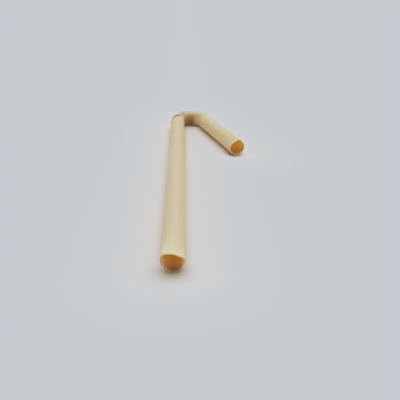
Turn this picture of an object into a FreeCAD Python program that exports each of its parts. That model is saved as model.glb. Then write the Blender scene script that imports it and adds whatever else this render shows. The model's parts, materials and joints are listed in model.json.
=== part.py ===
import FreeCAD, Part
import os
import Sketcher

# A plastic drinking straw: one thin-walled tube, open at both mouths, lying on a flat surface.
# The long leg runs along +Y from its mouth to a sharp kink. A short crossing then runs to the right,
# and a rounder elbow turns the short leg back towards -Y, a little away from the long leg.
# Lengths are in millimetres and angles in degrees. The straw rests on z = 0.

SIZES = {
    "outer_diameter": 6.0,
    "wall": 0.3,
    "long_length": 126.7,
    "short_length": 36.4,
    "bend_swell": 0.5,
    "bend_squeeze": 0.5,
    "neck_length": 2.2,
    "kink_inner_radius": 0.4,
    "kink_angle": 91.5,
    "crossing_length": 4.8,
    "elbow_inner_radius": 1.0,
    "elbow_angle": 73.5,
    "recovery_length": 4.0,
    "long_mouth_taper": 12.0,
    "long_mouth_flat": 0.25,
    "short_mouth_taper": 6.0,
    "short_mouth_flat": 0.25,
    "short_mouth_lean": 35.0,
}

# Outer spans of the tube where it is round, and where it bends: there it is taller and narrower
ROUND = "sizes.outer_diameter"
BEND_WIDTH = "(sizes.outer_diameter - sizes.bend_squeeze)"
BEND_HEIGHT = "(sizes.outer_diameter + sizes.bend_swell)"

# The round tube's axis lies at this height, and the taller section's centre lies higher by the lift
AXIS_HEIGHT = "sizes.outer_diameter / 2"
BEND_LIFT = "sizes.bend_swell / 2"

# Each turn's radius at the centre line leaves its own radius at the inner corner
KINK_RADIUS = "(sizes.kink_inner_radius + " + BEND_WIDTH + " / 2)"
ELBOW_RADIUS = "(sizes.elbow_inner_radius + " + BEND_WIDTH + " / 2)"

# Directions of the tube, clockwise from +Y
LONG_HEADING = "0"
CROSSING_HEADING = "sizes.kink_angle"
SHORT_HEADING = "(sizes.kink_angle + sizes.elbow_angle)"

# A section drawn with this roll has its x axis pointing up
UPRIGHT = 90.0

# Rough spans that a new curve is drawn with, before its constraints set its true size
ROUGH_LONG = 6.4
ROUGH_SHORT = 5.6

doc = FreeCAD.newDocument("drinking_straw")
sheet = doc.addObject("Spreadsheet::Sheet", "sizes")
for row, (alias, number) in enumerate(SIZES.items(), start=1):
    sheet.set("A%d" % row, alias)
    sheet.set("B%d" % row, str(number))
    sheet.setAlias("B%d" % row, alias)
doc.recompute()

straw = doc.addObject("PartDesign::Body", "straw")
straw.Label = "straw"
upright_plane = [plane for plane in straw.Origin.OriginFeatures if plane.Role == "XZ_Plane"][0]


def station(name, across, along, heading):
    """Plane square to the tube, with its origin on the round tube's axis."""
    plane = straw.newObject("PartDesign::Plane", name)
    plane.AttachmentSupport = [(upright_plane, "")]
    plane.MapMode = "FlatFace"
    turned = FreeCAD.Rotation(FreeCAD.Vector(0, 1, 0), -UPRIGHT)
    plane.AttachmentOffset = FreeCAD.Placement(FreeCAD.Vector(), turned)
    plane.setExpression("AttachmentOffset.Base.x", across)
    plane.setExpression("AttachmentOffset.Base.y", AXIS_HEIGHT)
    plane.setExpression("AttachmentOffset.Base.z", "-(" + along + ")")
    plane.setExpression("AttachmentOffset.Rotation.Angle", "-(" + heading + ") * 1 deg")
    return plane


def onward(name, start, distance, heading):
    """Station further along the tube than another."""
    base = start.Name + ".Placement.Base"
    across = "%s.x / 1 mm + %s * sin(%s)" % (base, distance, heading)
    along = "%s.y / 1 mm + %s * cos(%s)" % (base, distance, heading)
    return station(name, across, along, heading)


def beside(name, start, distance, heading):
    """Station to the right of another, or to its left where the distance is negative."""
    base = start.Name + ".Placement.Base"
    across = "%s.x / 1 mm + %s * cos(%s)" % (base, distance, heading)
    along = "%s.y / 1 mm - %s * sin(%s)" % (base, distance, heading)
    return station(name, across, along, heading)


def section_on(plane, name, roll=0.0):
    """Empty sketch on a station, rolled about the tube's axis."""
    sketch = straw.newObject("Sketcher::SketchObject", name)
    sketch.AttachmentSupport = [(plane, "")]
    sketch.MapMode = "FlatFace"
    rolled = FreeCAD.Rotation(FreeCAD.Vector(0, 0, 1), roll)
    sketch.AttachmentOffset = FreeCAD.Placement(FreeCAD.Vector(), rolled)
    return sketch


def measure(sketch, expression, *constraint):
    """Add one constraint that holds a size, and bind it to the sheet."""
    index = sketch.addConstraint(Sketcher.Constraint(*constraint))
    sketch.setExpression("Constraints[%d]" % index, expression)


def place_centre(sketch, curve, x, y):
    """Hold a curve's centre at its place, or on the sketch's own axis where that place is None."""
    if x is None:
        sketch.addConstraint(Sketcher.Constraint("PointOnObject", curve, 3, -2))
    else:
        measure(sketch, x, "DistanceX", -1, 1, curve, 3, 0.0)
    if y is None:
        sketch.addConstraint(Sketcher.Constraint("PointOnObject", curve, 3, -1))
    else:
        measure(sketch, y, "DistanceY", -1, 1, curve, 3, 0.0)


def draw_round(sketch):
    """Round section of the tube: its outside and its bore."""
    for inset in ("", " - 2 * sizes.wall"):
        circle = Part.Circle(FreeCAD.Vector(), FreeCAD.Vector(0, 0, 1), ROUGH_LONG / 2)
        curve = sketch.addGeometry(circle)
        place_centre(sketch, curve, None, None)
        measure(sketch, ROUND + inset, "Diameter", curve, ROUGH_LONG)


def draw_oval(sketch, longer, shorter, stands=False, x=None, y=None):
    """Oval section of the tube. Its longer span lies along the sketch's x, or along y where it stands."""
    long_end = FreeCAD.Vector(ROUGH_LONG / 2, 0, 0)
    short_end = FreeCAD.Vector(0, ROUGH_SHORT / 2, 0)
    direction = "Horizontal"
    if stands:
        long_end = FreeCAD.Vector(0, ROUGH_LONG / 2, 0)
        short_end = FreeCAD.Vector(-ROUGH_SHORT / 2, 0, 0)
        direction = "Vertical"
    for inset in ("", " - 2 * sizes.wall"):
        curve = sketch.addGeometry(Part.Ellipse(long_end, short_end, FreeCAD.Vector()))
        sketch.exposeInternalGeometry(curve)
        long_axis = curve + 1
        short_axis = curve + 2
        sketch.addConstraint(Sketcher.Constraint(direction, long_axis))
        place_centre(sketch, curve, x, y)
        measure(sketch, longer + inset, "Distance", long_axis, ROUGH_LONG)
        measure(sketch, shorter + inset, "Distance", short_axis, ROUGH_SHORT)


def straight(name, section, length):
    """Straight stretch of tube, onward from its section."""
    feature = straw.newObject("PartDesign::Pad", name)
    feature.Profile = section
    feature.Reversed = True
    feature.setExpression("Length", length)


def turn(name, section, angle):
    """Turned stretch of tube, its section swung to the right about the sketch's upright axis."""
    feature = straw.newObject("PartDesign::Revolution", name)
    feature.Profile = section
    feature.ReferenceAxis = (section, ["V_Axis"])
    feature.Reversed = True
    feature.setExpression("Angle", angle)


def change(name, first, last):
    """Stretch of tube that changes from one section to the next."""
    feature = straw.newObject("PartDesign::AdditiveLoft", name)
    feature.Profile = first
    feature.Sections = [last]


# Stations from the long leg's mouth to the kink
LONG_END = "sizes.long_mouth_taper + sizes.long_length"
KINK_START = LONG_END + " + sizes.neck_length"
long_mouth = station("long_mouth_station", "0", "0", LONG_HEADING)
long_round = station("long_round_station", "0", "sizes.long_mouth_taper", LONG_HEADING)
long_end = station("long_end_station", "0", LONG_END, LONG_HEADING)
kink_start = station("kink_start_station", "0", KINK_START, LONG_HEADING)
kink_pivot = station("kink_pivot_station", KINK_RADIUS, KINK_START, LONG_HEADING)

# Stations from the kink to the short leg's mouth
crossing_start = beside("crossing_start_station", kink_pivot, "-" + KINK_RADIUS, CROSSING_HEADING)
elbow_start = onward("elbow_start_station", crossing_start, "sizes.crossing_length", CROSSING_HEADING)
elbow_pivot = beside("elbow_pivot_station", elbow_start, ELBOW_RADIUS, CROSSING_HEADING)
elbow_end = beside("elbow_end_station", elbow_pivot, "-" + ELBOW_RADIUS, SHORT_HEADING)
short_round = onward("short_round_station", elbow_end, "sizes.recovery_length", SHORT_HEADING)
short_end = onward("short_end_station", short_round, "sizes.short_length", SHORT_HEADING)
short_mouth = onward("short_mouth_station", short_end, "sizes.short_mouth_taper", SHORT_HEADING)
doc.recompute()

# The long leg, round and straight
long_section = section_on(long_round, "long_section")
draw_round(long_section)
doc.recompute()
straight("long_leg", long_section, "sizes.long_length")

# The long leg's mouth, as wide as the tube and pressed down at its top
long_mouth_section = section_on(long_mouth, "long_mouth_section")
draw_oval(long_mouth_section, ROUND, ROUND + " - sizes.long_mouth_flat", y="-sizes.long_mouth_flat / 2")
doc.recompute()
change("long_leg_mouth", long_section, long_mouth_section)

# The neck, where the long leg changes to the bend's taller section
neck_start = section_on(long_end, "neck_start", UPRIGHT)
draw_round(neck_start)
neck_end = section_on(kink_start, "neck_end", UPRIGHT)
draw_oval(neck_end, BEND_HEIGHT, BEND_WIDTH, x=BEND_LIFT)
doc.recompute()
change("neck", neck_start, neck_end)

# The kink, with a nearly sharp inner corner
kink_section = section_on(kink_pivot, "kink_section")
draw_oval(kink_section, BEND_HEIGHT, BEND_WIDTH, True, "-" + KINK_RADIUS, BEND_LIFT)
doc.recompute()
turn("kink", kink_section, "sizes.kink_angle")

# The crossing between the two turns
crossing_section = section_on(crossing_start, "crossing_section")
draw_oval(crossing_section, BEND_HEIGHT, BEND_WIDTH, True, y=BEND_LIFT)
doc.recompute()
straight("crossing", crossing_section, "sizes.crossing_length")

# The elbow, a rounder turn than the kink
elbow_section = section_on(elbow_pivot, "elbow_section")
draw_oval(elbow_section, BEND_HEIGHT, BEND_WIDTH, True, "-" + ELBOW_RADIUS, BEND_LIFT)
doc.recompute()
turn("elbow", elbow_section, "sizes.elbow_angle")

# The recovery, where the tube grows round again
recovery_start = section_on(elbow_end, "recovery_start", UPRIGHT)
draw_oval(recovery_start, BEND_HEIGHT, BEND_WIDTH, x=BEND_LIFT)
recovery_end = section_on(short_round, "recovery_end", UPRIGHT)
draw_round(recovery_end)
doc.recompute()
change("recovery", recovery_start, recovery_end)

# The short leg, round and straight
short_section = section_on(short_round, "short_section")
draw_round(short_section)
doc.recompute()
straight("short_leg", short_section, "sizes.short_length")

# The short leg's mouth, pressed in on its upper side towards the long leg
short_mouth_start = section_on(short_end, "short_mouth_start", UPRIGHT)
draw_round(short_mouth_start)
short_mouth_section = section_on(short_mouth, "short_mouth_section", UPRIGHT)
draw_oval(short_mouth_section, ROUND, ROUND + " - sizes.short_mouth_flat")
for sketch in (short_mouth_start, short_mouth_section):
    sketch.setExpression("AttachmentOffset.Rotation.Angle", "(180 - sizes.short_mouth_lean) * 1 deg")
doc.recompute()
change("short_leg_mouth", short_mouth_start, short_mouth_section)
doc.recompute()

# The origin is the middle of the straw's outline on the surface that it lies on
outline = straw.Shape.optimalBoundingBox(False)
middle = FreeCAD.Vector(outline.Center.x, outline.Center.y, 0)
straw.Placement = FreeCAD.Placement(-middle, FreeCAD.Rotation())
doc.recompute()

for item in doc.Objects:
    if "Invalid" in item.State or "Error" in item.State:
        raise RuntimeError("%s did not build: %s" % (item.Name, item.State))
if straw.Shape.isNull() or not straw.Shape.isValid() or len(straw.Shape.Solids) != 1:
    raise RuntimeError("the straw is not one valid solid")

os.makedirs("parts", exist_ok=True)
straw.Shape.exportStep("parts/%s.step" % straw.Label)
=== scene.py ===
import json
import math
from collections import namedtuple

import bpy
import numpy as np
from mathutils import Euler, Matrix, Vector


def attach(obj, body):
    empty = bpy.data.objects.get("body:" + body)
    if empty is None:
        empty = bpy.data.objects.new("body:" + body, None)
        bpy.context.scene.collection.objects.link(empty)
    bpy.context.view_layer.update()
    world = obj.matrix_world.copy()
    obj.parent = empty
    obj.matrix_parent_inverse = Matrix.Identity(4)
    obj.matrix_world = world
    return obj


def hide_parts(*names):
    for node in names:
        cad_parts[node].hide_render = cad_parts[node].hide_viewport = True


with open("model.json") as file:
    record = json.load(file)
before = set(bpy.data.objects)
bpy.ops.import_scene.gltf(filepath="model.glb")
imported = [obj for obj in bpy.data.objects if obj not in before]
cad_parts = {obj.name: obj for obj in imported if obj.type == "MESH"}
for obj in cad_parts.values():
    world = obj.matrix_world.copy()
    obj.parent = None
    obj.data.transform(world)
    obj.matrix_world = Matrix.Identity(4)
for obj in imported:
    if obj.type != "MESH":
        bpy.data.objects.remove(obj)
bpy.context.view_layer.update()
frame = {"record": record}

# A plastic drinking straw on a pale floor: one thin tube with a kink, an elbow and two pressed mouths.
# Lengths are in millimetres and angles in degrees, until a mesh, lamp or camera is made.
# In the functions, s is the distance along the centre line from the near mouth, which is the long
# leg's, to the far mouth, which is the short leg's. around is the angle in the tube's section in
# radians, seen along the tube towards the far mouth: 0 is right and a quarter turn is up.
MM = 0.001

# Facts of the CAD model that its mounts don't state
WALL = 0.3
LONG_MOUTH_TAPER = 12.0
SHORT_MOUTH_TAPER = 6.0
NECK = 2.2
BEND_SWELL = 0.5
BEND_SQUEEZE = 0.5
KINK_INNER_RADIUS = 0.4
KINK_ANGLE = 91.5

# The elbow's inner corner is rounder here than in the CAD model
ELBOW_INNER_RADIUS = 4.0

# How finely the tube is drawn, and how far before a bend or a mouth's taper its fine steps begin
POINTS_AROUND = 96
STEP_STRAIGHT = 2.0
STEP_MOUTH = 0.35
STEP_BEND = 0.16
LEAD_BEND = 3.0
LEAD_MOUTH = 2.0
CENTRE_LINE_POINTS = 40001


def ramp(x, start, end):
    """Smooth step from 0 where x is at start to 1 where it is at end. The end may be the lower one."""
    t = np.clip((x - start) / (end - start), 0.0, 1.0)
    return t * t * (3.0 - 2.0 * t)


def bell(distance, reach):
    """Bell curve that is 1 at no distance and just over a third at its reach."""
    return np.exp(-((distance / reach) ** 2))


def linear(red, green, blue):
    """Linear colour from display values of 0 to 255, by the usual display curve."""
    values = np.array([red, green, blue]) / 255.0
    curve = np.where(values <= 0.04045, values / 12.92, ((values + 0.055) / 1.055) ** 2.4)
    return tuple(float(value) for value in curve)


mounts = {m["name"]: m for m in frame["record"]["mounts"]}


def mount_values(name):
    """A mount's place, direction, radius and length."""
    mount = mounts[name]
    place = np.array(mount["pos_m"]) / MM
    return place, np.array(mount["axis"]), mount["dims"]["r_mm"], mount["dims"]["length_mm"]


long_place, long_axis, RADIUS, LONG_LENGTH = mount_values("long_leg_outside")
short_place, short_axis, _, SHORT_LENGTH = mount_values("short_leg_outside")
mouth_place = long_place + long_axis * LONG_MOUTH_TAPER
SHORT_HEADING = math.degrees(math.atan2(short_axis[0], short_axis[1]))
ELBOW_ANGLE = SHORT_HEADING - KINK_ANGLE
HALF_WIDTH = RADIUS - BEND_SQUEEZE / 2
KINK_RADIUS = KINK_INNER_RADIUS + HALF_WIDTH
ELBOW_RADIUS = ELBOW_INNER_RADIUS + HALF_WIDTH

# Distances along the centre line to the changes of form before the crossing
AT_LONG_END = LONG_MOUTH_TAPER + LONG_LENGTH
AT_KINK = AT_LONG_END + NECK
AT_CROSSING = AT_KINK + KINK_RADIUS * math.radians(KINK_ANGLE)


def arc(radius, first, last):
    """Way gone along an arc between two headings in degrees."""
    a, b = math.radians(first), math.radians(last)
    return radius * np.array([math.cos(a) - math.cos(b), math.sin(b) - math.sin(a)])


def runs_round_elbow():
    """Lengths of the crossing and of the run after the elbow that bring the short leg to its place."""
    kink_end = mouth_place[:2] + np.array([0.0, AT_KINK]) + arc(KINK_RADIUS, 0.0, KINK_ANGLE)
    leg_start = short_place[:2] - short_axis[:2] * SHORT_LENGTH
    gap = leg_start - kink_end - arc(ELBOW_RADIUS, KINK_ANGLE, SHORT_HEADING)
    across = np.array([math.sin(math.radians(KINK_ANGLE)), math.cos(math.radians(KINK_ANGLE))])
    return np.linalg.solve(np.column_stack([across, short_axis[:2]]), gap)


# Distances along the centre line from the crossing to the short leg's mouth
CROSSING, RECOVERY = (float(length) for length in runs_round_elbow())
AT_ELBOW = AT_CROSSING + CROSSING
AT_RECOVERY = AT_ELBOW + ELBOW_RADIUS * math.radians(ELBOW_ANGLE)
AT_SHORT_ROUND = AT_RECOVERY + RECOVERY
AT_SHORT_END = AT_SHORT_ROUND + SHORT_LENGTH
TOTAL = AT_SHORT_END + SHORT_MOUTH_TAPER


def heading_at(s):
    """The tube's direction, in radians clockwise from +Y."""
    kink = np.clip((s - AT_KINK) / (AT_CROSSING - AT_KINK), 0, 1) * KINK_ANGLE
    elbow = np.clip((s - AT_ELBOW) / (AT_RECOVERY - AT_ELBOW), 0, 1) * ELBOW_ANGLE
    return np.radians(kink + elbow)


def centre_line(s):
    """Points of the round tube's centre line, added up in small steps along it."""
    fine = np.linspace(0, TOTAL, CENTRE_LINE_POINTS)
    heading = heading_at((fine[1:] + fine[:-1]) / 2)
    step = fine[1] - fine[0]
    x = np.concatenate([[0], np.cumsum(np.sin(heading)) * step]) + mouth_place[0]
    y = np.concatenate([[0], np.cumsum(np.cos(heading)) * step]) + mouth_place[1]
    return np.interp(s, fine, x), np.interp(s, fine, y)


def stations():
    """Distances along the tube where it gets a ring of points, close together where it changes."""
    spans = [
        (0.0, LONG_MOUTH_TAPER, STEP_MOUTH),
        (LONG_MOUTH_TAPER, AT_LONG_END - LEAD_BEND, STEP_STRAIGHT),
        (AT_LONG_END - LEAD_BEND, AT_SHORT_ROUND, STEP_BEND),
        (AT_SHORT_ROUND, AT_SHORT_END - LEAD_MOUTH, STEP_STRAIGHT),
        (AT_SHORT_END - LEAD_MOUTH, TOTAL, STEP_MOUTH),
    ]
    parts = [np.linspace(a, b, max(2, round((b - a) / step)), endpoint=False) for a, b, step in spans]
    return np.append(np.concatenate(parts), TOTAL)


def bend_share(s):
    """How far the tube has the bend's taller and narrower section, from 0 to 1."""
    return ramp(s, AT_LONG_END, AT_KINK) * ramp(s, AT_SHORT_ROUND, AT_RECOVERY)


def angle_off(around, centre):
    """Signed difference between angles, in degrees, from -180 to 180."""
    return (np.degrees(around) - centre + 180.0) % 360.0 - 180.0


# Outlines of the two pressed mouths: direction in the section (0 right, 90 up), distance from the axis
LONG_MOUTH = [
    (14, 3.2), (45, 2.4), (80, 2.28), (115, 2.62), (143, 3.45), (165, 3.05), (185, 2.94), (203, 2.5),
    (220, 2.38), (240, 2.6), (270, 3.0), (300, 3.04), (318, 2.76), (335, 2.52), (352, 2.85),
]
SHORT_MOUTH = [
    (-18, 3.2), (0, 3.15), (22, 3.04), (38, 3.02), (60, 2.76), (84, 3.0), (100, 3.56), (118, 3.36),
    (132, 3.1), (150, 2.98), (180, 2.94), (205, 2.86), (225, 2.74), (250, 2.84), (275, 2.95), (312, 3.15),
]
LONG_PRESS_LENGTH = 14.0
SHORT_PRESS_LENGTH = 9.0

# The outlines' corners are softened by an average over angles, weighted by a bell of this width
CORNER_SOFT = 7.0
CORNER_SAMPLES = np.linspace(-2.0, 2.0, 9)

# The wall is a little thicker at the near mouth's lip
LIP_EXTRA = 0.03
LIP_LENGTH = 0.5

# Creases and dents in the bend. place is the distance past the end of the long leg, facing the
# direction in the section, before and after the spread along the tube on either side of the place,
# half the half-width of the arc they cover, soft how softly that ends, and line how dark the fold's
# painted shade line is. A negative depth is a bulge.
Crease = namedtuple("Crease", "place facing depth before after half soft line")
ELBOW_MIDDLE = (AT_ELBOW + AT_RECOVERY) / 2 - AT_LONG_END
CREASES = [
    Crease(0.4, 116.0, 0.60, 1.5, 0.22, 44.0, 24.0, 0.75),
    Crease(2.6, 135.0, 0.95, 1.3, 2.4, 32.0, 45.0, 0.0),
    Crease(0.3, 42.0, -0.60, 2.2, 0.9, 8.0, 30.0, 0.0),
    Crease(2.4, 75.0, 0.25, 0.3, 0.3, 14.0, 14.0, 0.5),
    Crease(4.6, 57.0, 0.35, 0.3, 0.3, 12.0, 14.0, 0.8),
    Crease(6.2, 72.0, 0.20, 0.3, 0.3, 6.0, 14.0, 0.5),
    Crease(ELBOW_MIDDLE, 180.0, -0.3, 2.9, 2.9, 40.0, 50.0, 0.0),
]


def form_radius(around, form):
    """Radius at each angle of a closed form given by directions and distances, with soft corners."""
    facing, reach = zip(*form)
    weights = np.exp(-CORNER_SAMPLES**2 / 2)
    radius = sum(weight * np.interp(np.degrees(around) + CORNER_SOFT * sample, facing, reach, period=360)
                 for sample, weight in zip(CORNER_SAMPLES, weights))
    return radius / weights.sum()


def near_crease(s, around, crease):
    """How far past a crease each point is along the tube, and how much of its arc reaches there."""
    off = np.abs(angle_off(around, crease.facing))
    return s - AT_LONG_END - crease.place, ramp(off, crease.half + crease.soft, crease.half)


def crease_depth(s, around):
    """Depth pressed into the tube by the creases and dents."""
    depth = 0.0
    for crease in CREASES:
        along, window = near_crease(s, around, crease)
        spread = np.where(along < 0, crease.before, crease.after)
        depth = depth + crease.depth * bell(along, spread) * window
    return depth


def outer_radius(s, around):
    """Distance of the outside from the section's centre, for each station and angle."""
    bend = bend_share(s)
    wide = RADIUS - bend * BEND_SQUEEZE / 2
    high = RADIUS + bend * BEND_SWELL / 2
    radius = wide * high / np.sqrt((high * np.cos(around)) ** 2 + (wide * np.sin(around)) ** 2)
    near = ramp(s, LONG_PRESS_LENGTH, 0.0)
    far = ramp(s, TOTAL - SHORT_PRESS_LENGTH, TOTAL)
    radius = radius + near * (form_radius(around, LONG_MOUTH) - RADIUS)
    radius = radius + far * (form_radius(around, SHORT_MOUTH) - RADIUS)
    return radius - crease_depth(s, around)


def ring_points(s, around, inset):
    """Points of the tube's wall at one depth under its outside, as an array of rings."""
    x, y = centre_line(s[:, 0])
    heading = heading_at(s[:, 0])
    radius = outer_radius(s, around) - inset
    side = radius * np.cos(around)
    up = radius * np.sin(around) + RADIUS + bend_share(s) * BEND_SWELL / 2
    px = x[:, None] + side * np.cos(heading)[:, None]
    py = y[:, None] - side * np.sin(heading)[:, None]
    return np.stack([px, py, up], axis=-1)


# Painted shade lines in the folds: their width along the tube, and how far past the crease they lie
FOLD_LINE = 0.45
FOLD_LINE_PAST = 0.15

# Painted shade darkens the far mouth's rim and bore on the section's left, by this share and to this depth
SHADED_SHARE = 0.35
SHADED_DEPTH = 1.2

# Painted shade on the kink's inner side, along the tube from the crossing's start and by angle
FOLD_ALONG = [
    (-3.0, 0.0), (0.0, 0.6), (1.6, 0.9), (2.8, 1.0), (4.6, 0.84), (6.4, 0.36), (8.0, 0.12), (10.0, 0.0),
]
FOLD_ACROSS = [
    (-120.0, 0.0), (-90.0, 0.2), (-60.0, 0.6), (-35.0, 1.0), (-10.0, 1.0), (20.0, 0.76), (34.0, 0.68),
    (47.0, 0.34), (58.0, 0.08), (68.0, 0.0),
]

# A pinkish-orange tint on the plastic just before the crease, all round and most of all in one direction
CREASE_TINT_BEFORE = 0.8
CREASE_TINT_REACH = 1.3
CREASE_TINT_ALL_ROUND = 0.7
CREASE_TINT_FACING = 35.0
CREASE_TINT_ARC = 30.0

# The bore's painted shade, darker towards its bottom: its share and depth at the near mouth, further in
# and at the far mouth.
# At the near mouth it covers an arc on either side of the lowest line, which widens at the lip.
BORE_DOWN = 270.0
BORE_NEAR_SHARE = 0.8
BORE_NEAR_DEPTH = 3.8
BORE_INNER_SHARE = 0.15
BORE_INNER_DEPTH = 20.0
BORE_FAR_SHARE = 0.48
BORE_FAR_DEPTH = 6.0
BORE_ARC = 58.0
BORE_ARC_WIDER = 34.0
BORE_ARC_DEPTH = 1.8

# Painted light by the near mouth, a paler colour: on the bore's upper side and the outside's upper side,
# and a thin band in its lip
PALE_UPPER_SHARE = 0.65
PALE_UPPER_DEPTH = 3.0
PALE_LIP_SHARE = 0.12
PALE_LIP_DEPTH = 0.9
PALE_OUTER_SHARE = 0.5
PALE_OUTER_DEPTH = 8.0

# How much painted shade darkens the near mouth's rim at its top, and how much more each rim gets towards
# its bottom
RIM_NEAR_TOP = 0.4
RIM_NEAR_LOWER = 0.6
RIM_FAR_LOWER = 0.4

# Where these painted shades and lights start and where they are full, by the height in the section, which
# is 1 at the top and -1 at the bottom, and for the shaded side by the place across it, which is -1 at the
# left
LOW_OUTSIDE = (1.05, 0.05)
LOW_FAR_BORE = (0.2, -0.85)
LOW_RIM = (0.95, 0.05)
PALE_UPPER = (-0.6, 0.1)
PALE_OUTSIDE = (0.2, 0.7)
SHADED_LEFT = (-0.5, -0.9)


def shaded_side(around):
    """How far a point is on the section's left side, from 0 to 1."""
    return ramp(np.cos(around), *SHADED_LEFT)


def line_shade_share(s, around, inside):
    """How much painted shade a point gets from a fold's line, or from the far mouth's shaded side, from 0
    to 1.
    """
    dark = 0.0
    if inside:
        dark = SHADED_SHARE * bell(TOTAL - s, SHADED_DEPTH) * shaded_side(around)
    for crease in CREASES:
        along, window = near_crease(s, around, crease)
        dark = dark + crease.line * bell(along - FOLD_LINE_PAST, FOLD_LINE) * window
    return np.minimum(dark, 1.0)


def fold_shade_share(s, around):
    """How much painted shade a point gets on the inner side of the kink, from 0 to 1."""
    along = np.interp(s - AT_CROSSING, *zip(*FOLD_ALONG))
    across = np.interp(angle_off(around, 0.0), *zip(*FOLD_ACROSS))
    return along * across


def crease_tint_share(s, around):
    """How much of the pinkish-orange tint a point just before the crease gets, from 0 to 1."""
    most = bell(angle_off(around, CREASE_TINT_FACING), CREASE_TINT_ARC)
    around_share = CREASE_TINT_ALL_ROUND + (1.0 - CREASE_TINT_ALL_ROUND) * most
    return bell(s - AT_LONG_END + CREASE_TINT_BEFORE, CREASE_TINT_REACH) * around_share


def painted_lower_share(s, around, inside):
    """Share of painted lower-side colour, 0 to 1: outside a painted glow of light through the wall, in the
    bore painted shade.
    """
    height = np.sin(around)
    if not inside:
        return ramp(height, *LOW_OUTSIDE) * np.ones_like(s)
    near = BORE_NEAR_SHARE * bell(s, BORE_NEAR_DEPTH)
    inner = BORE_INNER_SHARE * bell(s**2, BORE_INNER_DEPTH**2)
    across = bell(angle_off(around, BORE_DOWN), BORE_ARC + BORE_ARC_WIDER * bell(s, BORE_ARC_DEPTH))
    far = BORE_FAR_SHARE * bell(TOTAL - s, BORE_FAR_DEPTH)
    return (near + inner) * across + far * ramp(height, *LOW_FAR_BORE)


def lip_light_share(s, around, inside):
    """How much painted light pales the colour next to the near mouth's edge, from 0 to 1."""
    height = np.sin(around)
    if not inside:
        return PALE_OUTER_SHARE * bell(s, PALE_OUTER_DEPTH) * ramp(height, *PALE_OUTSIDE)
    upper = PALE_UPPER_SHARE * bell(s, PALE_UPPER_DEPTH) * ramp(height, *PALE_UPPER)
    return np.maximum(upper, PALE_LIP_SHARE * bell(s, PALE_LIP_DEPTH))


def rim_shade_share(s, around):
    """How much painted shade darkens a rim, 0 to 1: the near one all round, the far one below and on its
    shaded side.
    """
    low = ramp(np.sin(around), *LOW_RIM)
    near = RIM_NEAR_TOP + RIM_NEAR_LOWER * low
    far = RIM_FAR_LOWER * low + SHADED_SHARE * shaded_side(around)
    return np.where(s < TOTAL / 2, near, far)


# Material slots of the straw's mesh
OUTSIDE, BORE, RIM = range(3)


def add_layer(mesh, name, values):
    """Layer of one number for each point of a mesh, for its material to read."""
    layer = mesh.attributes.new(name, "FLOAT", "POINT")
    layer.data.foreach_set("value", values.reshape(-1).astype(np.float32))


def tube_mesh(name):
    """Closed mesh of the straw: outside, the far mouth's rim, bore and the near mouth's rim."""
    s = stations()[:, None]
    around = np.linspace(0, 2 * math.pi, POINTS_AROUND, endpoint=False)[None, :]
    outside = ring_points(s, around, 0.0)
    inside = ring_points(s, around, WALL + LIP_EXTRA * bell(s, LIP_LENGTH))
    rings = np.concatenate([outside, inside[::-1]])
    along = np.concatenate([s, s[::-1]])
    runs = len(s) - 1
    faces, slots = [], []
    for i, slot in enumerate([OUTSIDE] * runs + [RIM] + [BORE] * runs + [RIM]):
        here = i * POINTS_AROUND
        beyond = (i + 1) % len(rings) * POINTS_AROUND
        for k in range(POINTS_AROUND):
            m = (k + 1) % POINTS_AROUND
            faces.append((here + k, beyond + k, beyond + m, here + m))
            slots.append(slot)
    mesh = bpy.data.meshes.new(name)
    mesh.from_pydata((rings.reshape(-1, 3) * MM).tolist(), [], faces)
    mesh.polygons.foreach_set("material_index", slots)
    mesh.polygons.foreach_set("use_smooth", [True] * len(faces))

    # Coordinates that go round the tube and along it, for the material's noise
    whole = np.ones_like(along * around)
    tube = np.stack([whole * np.cos(around), whole * np.sin(around), whole * along / TOTAL], axis=-1)
    layer = mesh.attributes.new("tube", "FLOAT_VECTOR", "POINT")
    layer.data.foreach_set("vector", tube.reshape(-1).astype(np.float32))

    def both(share):
        """A share over the outside's rings and then the bore's."""
        return np.concatenate([share(s, around, False), share(s[::-1], around, True)])

    add_layer(mesh, "low", both(painted_lower_share))
    add_layer(mesh, "lip", both(lip_light_share))
    add_layer(mesh, "rim", rim_shade_share(along, around))
    add_layer(mesh, "fold", fold_shade_share(along, around))
    add_layer(mesh, "line", both(line_shade_share))
    add_layer(mesh, "stress", crease_tint_share(along, around))
    mesh.validate()
    mesh.update()
    return mesh


# How far light scatters in the plastic, by red, green and blue, and how much of it does
SCATTER = (2.0, 1.3, 0.7)
SCATTER_SHARE = 0.6

# Noise in the plastic. Blotches change its colour, and lengthwise streaks its roughness and bump.
BLOTCHES = {"lengthwise": 14.0, "scale": 1.6, "detail": 3.0}
BLOTCH_SHARE = 0.2
STREAKS = {"lengthwise": 1.0, "scale": 9.0, "detail": 2.0}
STREAK_ROUGHNESS = 0.08
STREAK_BUMP = 0.25
STREAK_DEPTH = 0.04

# Colours laid over each other in this order, each by the mesh layer of its name
LAID_COLOURS = [
    # Painted light on the near mouth's upper side, and a paler band all round its lip
    ("lip", linear(216, 210, 176)),
    # A pinkish-orange tint just before the crease
    ("stress", linear(218, 180, 146)),
    # Painted shade in the pocket on the kink's inner side
    ("fold", linear(150, 103, 60)),
    # Painted shade lines in the folds and on the far mouth's shaded side
    ("line", linear(124, 108, 80)),
]

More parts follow.
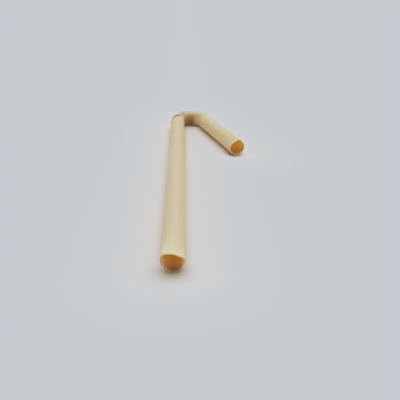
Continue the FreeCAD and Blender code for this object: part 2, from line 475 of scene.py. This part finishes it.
# The straw's finishes, in the order of its material slots: name, upper colour, lower colour, roughness,
# faint glow in place of light through the thin wall, and the mesh layer that mixes the two colours
FINISHES = [
    # Painted light: the outside's lower colour is a warm glow of light through the wall, on its lower side
    ("straw_outside", linear(201, 190, 156), linear(230, 203, 154), 0.42, 0.035, "low"),
    # Painted light and shade: the bore's orange stands in for light bounced inside the tube, its lower
    # colour for shade
    ("straw_bore", linear(222, 176, 94), linear(122, 82, 66), 0.5, 0.15, "low"),
    # Painted shade: the rims' lower colour
    ("straw_rim", linear(242, 222, 180), linear(142, 122, 94), 0.5, 0.16, "rim"),
]


def layer_output(tree, layer, output="Fac"):
    """Output of a node that reads one of the mesh's own layers."""
    node = tree.nodes.new("ShaderNodeAttribute")
    node.attribute_name = layer
    return node.outputs[output]


def laid_over(tree, under, factor, colour):
    """Output of a colour laid by a factor over another output or over a plain colour."""
    mix = tree.nodes.new("ShaderNodeMix")
    mix.data_type = "RGBA"
    mix.inputs["B"].default_value = (*colour, 1.0)
    tree.links.new(factor, mix.inputs["Factor"])
    if isinstance(under, tuple):
        mix.inputs["A"].default_value = (*under, 1.0)
    else:
        tree.links.new(under, mix.inputs["A"])
    return mix.outputs["Result"]


def plastic(name, upper, lower, roughness, glow, share):
    """Thin translucent plastic: blotchy colour with painted light and shade laid over it, and faint
    lengthwise lines from extrusion.
    """
    material = bpy.data.materials.new(name)
    material.use_nodes = True
    tree = material.node_tree
    nodes, links = tree.nodes, tree.links
    shader = nodes["Principled BSDF"]
    shader.inputs["Subsurface Weight"].default_value = SCATTER_SHARE
    shader.inputs["Subsurface Radius"].default_value = SCATTER
    shader.inputs["Subsurface Scale"].default_value = MM
    shader.inputs["Emission Strength"].default_value = glow

    def noise(lengthwise, scale, detail):
        """Noise over the tube, with its own scale lengthwise."""
        mapping = nodes.new("ShaderNodeMapping")
        mapping.inputs["Scale"].default_value = (1.0, 1.0, lengthwise)
        texture = nodes.new("ShaderNodeTexNoise")
        texture.inputs["Scale"].default_value = scale
        texture.inputs["Detail"].default_value = detail
        links.new(layer_output(tree, "tube", "Vector"), mapping.inputs["Vector"])
        links.new(mapping.outputs["Vector"], texture.inputs["Vector"])
        return texture.outputs["Fac"]

    def spread(value, middle, most):
        """Value from 0 to 1 brought to a range on either side of a middle."""
        ranged = nodes.new("ShaderNodeMapRange")
        ranged.inputs["To Min"].default_value = middle - most
        ranged.inputs["To Max"].default_value = middle + most
        links.new(value, ranged.inputs["Value"])
        return ranged.outputs["Result"]

    total = nodes.new("ShaderNodeMath")
    total.operation = "ADD"
    links.new(layer_output(tree, share), total.inputs[0])
    links.new(spread(noise(**BLOTCHES), 0.0, BLOTCH_SHARE), total.inputs[1])
    colour = laid_over(tree, upper, total.outputs["Value"], lower)
    for layer, laid in LAID_COLOURS:
        colour = laid_over(tree, colour, layer_output(tree, layer), laid)
    links.new(colour, shader.inputs["Base Color"])
    links.new(colour, shader.inputs["Emission Color"])

    streaks = noise(**STREAKS)
    links.new(spread(streaks, roughness, STREAK_ROUGHNESS), shader.inputs["Roughness"])
    bump = nodes.new("ShaderNodeBump")
    bump.inputs["Strength"].default_value = STREAK_BUMP
    bump.inputs["Distance"].default_value = STREAK_DEPTH * MM
    links.new(streaks, bump.inputs["Height"])
    links.new(bump.outputs["Normal"], shader.inputs["Normal"])
    return material


straw_mesh = tube_mesh("straw_tube")
straw = bpy.data.objects.new("straw_tube", straw_mesh)
bpy.context.scene.collection.objects.link(straw)
for finish in FINISHES:
    straw_mesh.materials.append(plastic(*finish))
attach(straw, "root")
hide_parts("straw")

# The floor is drawn in steps of a millimetre this far out from its middle, and then on to its edge
FLOOR_FINE_X = 60
FLOOR_FINE_Y = 130
FLOOR_EDGE = 8000.0
FLOOR_LINE_POINTS = 200

# The floor's matt paint, and the tints laid over it near the straw in this order: reach, strength and
# colour. They stand in for light bounced from the straw and for its soft shadow.
FLOOR_ROUGHNESS = 0.9
FLOOR_COOL = linear(199, 203, 208)
FLOOR_TINTS = [
    ("near", 17.0, 1.0, linear(209, 210, 210)),
    ("pale", 4.4, 1.0, linear(236, 236, 238)),
    ("warm", 2.5, 1.0, linear(206, 187, 156)),
    ("contact", 1.6, 1.0, linear(120, 104, 82)),
    ("front", 3.5, 0.1, linear(120, 104, 82)),
]

# The pale tint lies on the straw's -X side, between these places along Y
PALE_ASIDE = 0.8
PALE_START = -68.0
PALE_END = 68.0

# The warm tint lies on the short leg's -X side and on the bend's +Y side
WARM_ASIDE = 1.4
WARM_BACK = 1.5

# The contact tint lies along the last points of the centre line, on their -X side, and the front
# tint on the near mouth's +X side
CONTACT_ASIDE = 0.9
CONTACT_POINTS = 4
FRONT_ASIDE = 0.5

# The near tint reaches further past the bend, where its distances along Y are shortened by this share
DRAWN_IN = 0.6


def gap_from(points, line):
    """Distance of each point from the nearest point of a line."""
    return np.sqrt(((points[:, None, :] - line[None, :, :]) ** 2).sum(-1)).min(1)


def tint_distances(grid):
    """Distance of each point of the floor from where each tint lies."""
    along = np.linspace(0, TOTAL, FLOOR_LINE_POINTS)
    line = np.column_stack(centre_line(along))
    beyond = np.maximum(grid[:, 1] - line[:, 1].max(), 0.0)
    drawn_in = grid - np.column_stack([np.zeros(len(grid)), beyond * DRAWN_IN])
    pale = line[(line[:, 1] > PALE_START) & (line[:, 1] < PALE_END)] - [PALE_ASIDE, 0.0]
    warm = line - np.outer(along > AT_SHORT_ROUND, [WARM_ASIDE, 0.0])
    warm = warm + np.outer((along > AT_KINK) & (along < AT_RECOVERY), [0.0, WARM_BACK])
    return {
        "near": gap_from(drawn_in, line),
        "pale": gap_from(grid, pale),
        "warm": gap_from(grid, warm),
        "contact": gap_from(grid, line[-CONTACT_POINTS:] - [CONTACT_ASIDE, 0.0]),
        "front": gap_from(grid, line[:1] + [FRONT_ASIDE, 0.0]),
    }


def floor_paint():
    """Matt cool paint with the tints laid over it, each by the mesh layer of its name."""
    material = bpy.data.materials.new("floor_paint")
    material.use_nodes = True
    tree = material.node_tree
    shader = tree.nodes["Principled BSDF"]
    shader.inputs["Roughness"].default_value = FLOOR_ROUGHNESS
    shader.inputs["Specular IOR Level"].default_value = 0.0
    colour = FLOOR_COOL
    for layer, _, _, laid in FLOOR_TINTS:
        colour = laid_over(tree, colour, layer_output(tree, layer), laid)
    tree.links.new(colour, shader.inputs["Base Color"])
    return material


def floor():
    """Pale cool floor, wide enough to fill the view, with painted bounced light and soft shadow near the
    straw.
    """
    xs = np.concatenate([[-FLOOR_EDGE], np.arange(-FLOOR_FINE_X, FLOOR_FINE_X + 1), [FLOOR_EDGE]])
    ys = np.concatenate([[-FLOOR_EDGE], np.arange(-FLOOR_FINE_Y, FLOOR_FINE_Y + 1), [FLOOR_EDGE]])
    grid = np.stack(np.meshgrid(xs, ys), axis=-1).reshape(-1, 2)
    across = len(xs)
    faces = [(r * across + c, r * across + c + 1, (r + 1) * across + c + 1, (r + 1) * across + c)
             for r in range(len(ys) - 1) for c in range(across - 1)]
    mesh = bpy.data.meshes.new("floor")
    mesh.from_pydata((np.column_stack([grid, np.zeros(len(grid))]) * MM).tolist(), [], faces)
    distances = tint_distances(grid)
    for layer, reach, strength, _ in FLOOR_TINTS:
        add_layer(mesh, layer, strength * bell(distances[layer], reach))
    piece = bpy.data.objects.new("floor", mesh)
    bpy.context.scene.collection.objects.link(piece)
    mesh.materials.append(floor_paint())


floor()

# Most of the light comes from all round, the rest from a soft lamp high behind the straw
WORLD_SHARE = 0.5
LAMP_ELEVATION = 72.0
LAMP_HEADING = -22.0
LAMP_SPREAD = 90.0

lamp = bpy.data.lights.new("soft_lamp", "SUN")
lamp.angle = math.radians(LAMP_SPREAD)
lamp.energy = (1 - WORLD_SHARE) * math.pi / math.sin(math.radians(LAMP_ELEVATION))
lamp_piece = bpy.data.objects.new("soft_lamp", lamp)
lamp_piece.rotation_euler = Euler((math.radians(LAMP_ELEVATION - 90.0), 0.0, math.radians(LAMP_HEADING)))
bpy.context.scene.collection.objects.link(lamp_piece)

world = bpy.data.worlds.new("studio")
world.use_nodes = True
world.node_tree.nodes["Background"].inputs["Color"].default_value = (1.0, 1.0, 1.0, 1.0)
world.node_tree.nodes["Background"].inputs["Strength"].default_value = WORLD_SHARE
bpy.context.scene.world = world

# The camera's place is measured from the middle of the near mouth
CAMERA_ASIDE = 3.29
CAMERA_BACK = 128.5
CAMERA_HEIGHT = 69.36
CAMERA_PITCH = 21.4
CAMERA_HEADING = 1.466
CAMERA_LENS = 54.0
CAMERA_SENSOR = 36.0
CAMERA_CLIP_START = 10.0

camera = bpy.data.cameras.new("camera")
camera.lens = CAMERA_LENS
camera.sensor_width = CAMERA_SENSOR
camera.clip_start = CAMERA_CLIP_START * MM
viewer = bpy.data.objects.new("camera", camera)
viewer.location = Vector((
    mouth_place[0] + CAMERA_ASIDE,
    mouth_place[1] - CAMERA_BACK,
    CAMERA_HEIGHT,
)) * MM
viewer.rotation_euler = Euler((math.radians(90.0 - CAMERA_PITCH), 0.0, -math.radians(CAMERA_HEADING)))
bpy.context.scene.collection.objects.link(viewer)
bpy.context.scene.camera = viewer

bpy.context.scene.view_settings.view_transform = "Standard"
